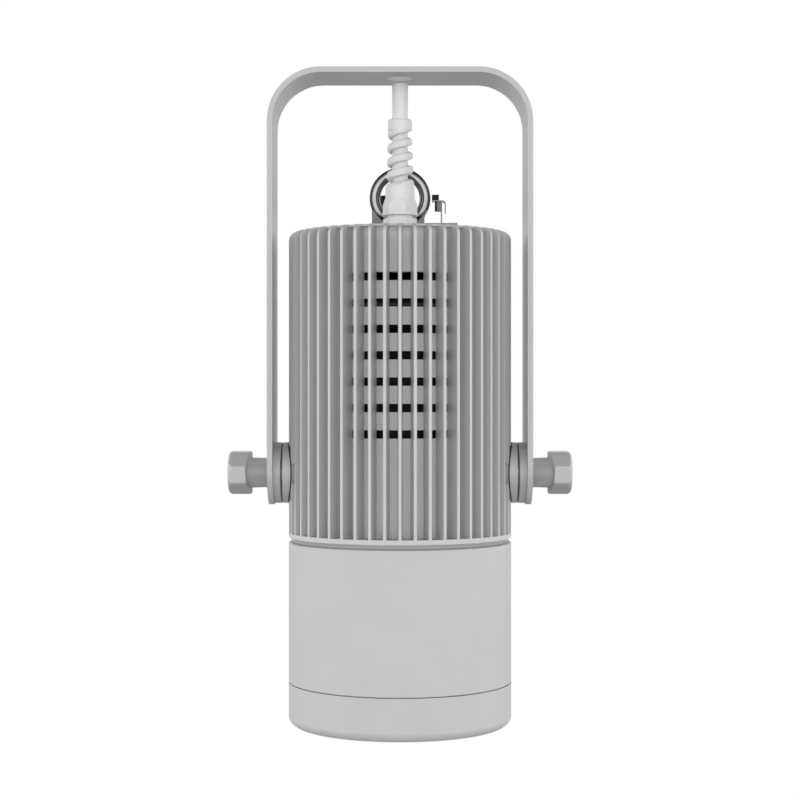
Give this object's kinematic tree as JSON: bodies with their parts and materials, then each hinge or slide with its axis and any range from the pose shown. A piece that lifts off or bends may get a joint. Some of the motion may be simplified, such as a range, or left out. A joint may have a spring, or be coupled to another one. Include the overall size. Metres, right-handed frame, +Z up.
{
  "type": "led wash light",
  "caption": "Hanging LED wash light: finned cylindrical lamp body that tilts in a bent flat-bar yoke, with toothed friction discs, side knobs, cable gland and safety ring.",
  "frame": {"origin": "centre of the hanging hole, on the top face of the yoke", "axes": "+Z up, the tilt axis along X, the gland's side of the ring faces -Y"},
  "size_m": [0.1972, 0.128, 0.3741],
  "materials": {
    "grey_paint": "satin light grey powder coat",
    "grey_casting": "satin light grey powder coat on cast aluminium",
    "disc_metal": "satin machined",
    "bare_aluminium": "satin bare",
    "reflector_metal": "bright spun",
    "screw_steel": "zinc plated",
    "polished_steel": "polished",
    "dark_steel": "matt grey",
    "knob_plastic": "satin light grey moulding",
    "white_nylon": "off-white nylon",
    "cable_sheath": "off-white sheath",
    "white_plastic": "white",
    "black_plastic": "black",
    "black_rubber": "black",
    "seal_rubber": "dark grey",
    "circuit_board": "green board with dark parts",
    "phosphor": "yellow silicone",
    "clear_glass": "clear"
  },
  "bodies": {
    "yoke": {"yoke": "grey_paint", "outer_tooth_disc_left": "disc_metal", "outer_tooth_disc_right": "disc_metal", "outer_disc_screws": "screw_steel"},
    "lamp": {"heatsink_housing": "grey_casting", "barrel": "grey_paint", "front_bezel": "grey_paint", "front_glass": "clear_glass", "glass_gasket": "seal_rubber", "glass_retainer": "bare_aluminium", "reflector": "reflector_metal", "led_holder": "white_plastic", "led_board": "white_plastic", "led_emitter": "phosphor", "led_holder_screws": "screw_steel", "heat_spreader": "bare_aluminium", "spreader_screws": "screw_steel", "barrel_seal": "seal_rubber", "barrel_screws": "screw_steel", "inner_tooth_disc_left": "disc_metal", "inner_tooth_disc_right": "disc_metal", "inner_disc_screws": "screw_steel", "standoffs": "screw_steel", "fan_shelf": "bare_aluminium", "shelf_screws": "screw_steel", "fan_frame": "black_plastic", "fan_screws": "screw_steel", "driver_tray": "bare_aluminium", "driver_board": "circuit_board", "control_board": "circuit_board", "gland_body": "white_nylon", "gland_locknut": "white_nylon", "gland_seal": "seal_rubber", "gland_nut_spiral": "white_nylon", "power_cable": "cable_sheath", "cable_tail": "cable_sheath", "safety_ring": "polished_steel", "ring_saddle": "dark_steel", "ring_bolt": "screw_steel", "control_socket": "bare_aluminium", "socket_nut": "bare_aluminium", "socket_cap": "black_rubber", "clip_base": "dark_steel", "clip_bracket": "polished_steel", "clip_jaw": "dark_steel", "clip_pad": "black_rubber", "clip_screws": "screw_steel"},
    "fan": {"fan_rotor": "black_plastic"},
    "washer_left": {"knob_washer_left": "screw_steel"},
    "washer_right": {"knob_washer_right": "screw_steel"},
    "knob_left": {"tilt_knob_left": "knob_plastic", "knob_stud_left": "screw_steel"},
    "knob_right": {"tilt_knob_right": "knob_plastic", "knob_stud_right": "screw_steel"}
  },
  "joints": [
    {"name": "tilt", "type": "hinge", "parent": "yoke", "child": "lamp", "pos_m": [0, 0, -0.2301], "axis": [1, 0, 0], "range_deg": [-135, 135]},
    {"name": "fan_spin", "type": "hinge", "parent": "lamp", "child": "fan", "pos_m": [0, 0, -0.13], "axis": [0, 0, 1], "continuous": true},
    {"name": "knob_left_turn", "type": "hinge", "parent": "washer_left", "child": "knob_left", "pos_m": [-0.09, 0, -0.2301], "axis": [-1, 0, 0], "range_deg": [0, 300]},
    {"name": "knob_left_back", "type": "slide", "parent": "yoke", "child": "washer_left", "axis": [-1, 0, 0], "range_m": [0, 0.00125]},
    {"name": "knob_right_turn", "type": "hinge", "parent": "washer_right", "child": "knob_right", "pos_m": [0.09, 0, -0.2301], "axis": [1, 0, 0], "range_deg": [0, 300]},
    {"name": "knob_right_back", "type": "slide", "parent": "yoke", "child": "washer_right", "axis": [1, 0, 0], "range_m": [0, 0.00125]}
  ],
  "couplings": [
    {"joint": "knob_left_turn", "follows": "knob_left_back", "rad_per_m": 4188.8},
    {"joint": "knob_right_turn", "follows": "knob_right_back", "rad_per_m": 4188.8}
  ]
}
